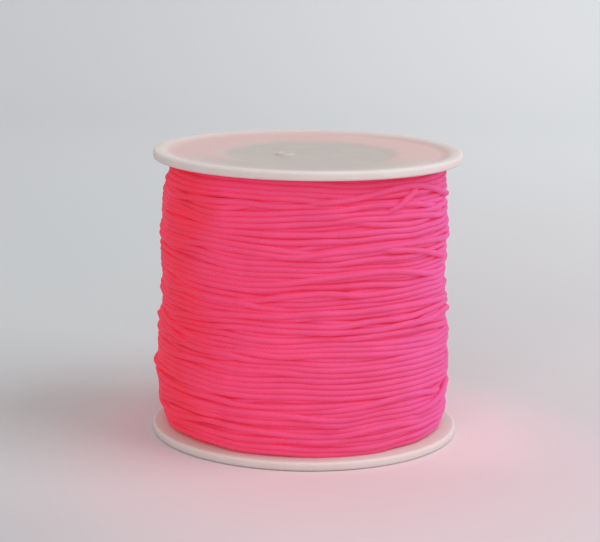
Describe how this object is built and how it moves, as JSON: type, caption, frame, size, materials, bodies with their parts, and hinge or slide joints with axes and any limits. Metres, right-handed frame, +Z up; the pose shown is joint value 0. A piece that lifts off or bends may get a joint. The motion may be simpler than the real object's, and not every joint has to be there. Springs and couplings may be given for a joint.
{
  "type": "fishing line spool",
  "caption": "Round two-flange plastic spool wound full of thick braided pink line, standing on one flange.",
  "frame": {"origin": "on the spool's axis, in the plane of the lower flange's rim, which it stands on", "axes": "+Z up along the spool's axis, -Y towards the front, +X to the viewer's right"},
  "size_m": [0.052, 0.052, 0.0485],
  "materials": {
    "spool_plastic": "translucent white moulded polypropylene, satin",
    "braided_line": "bright pink braided synthetic line, soft sheen"
  },
  "bodies": {
    "root": {"bottom_flange": "spool_plastic", "top_flange": "spool_plastic", "barrel": "spool_plastic", "line_inner_layers": "braided_line", "line_outer_layer": "braided_line", "line_start_end": "braided_line"}
  },
  "joints": []
}
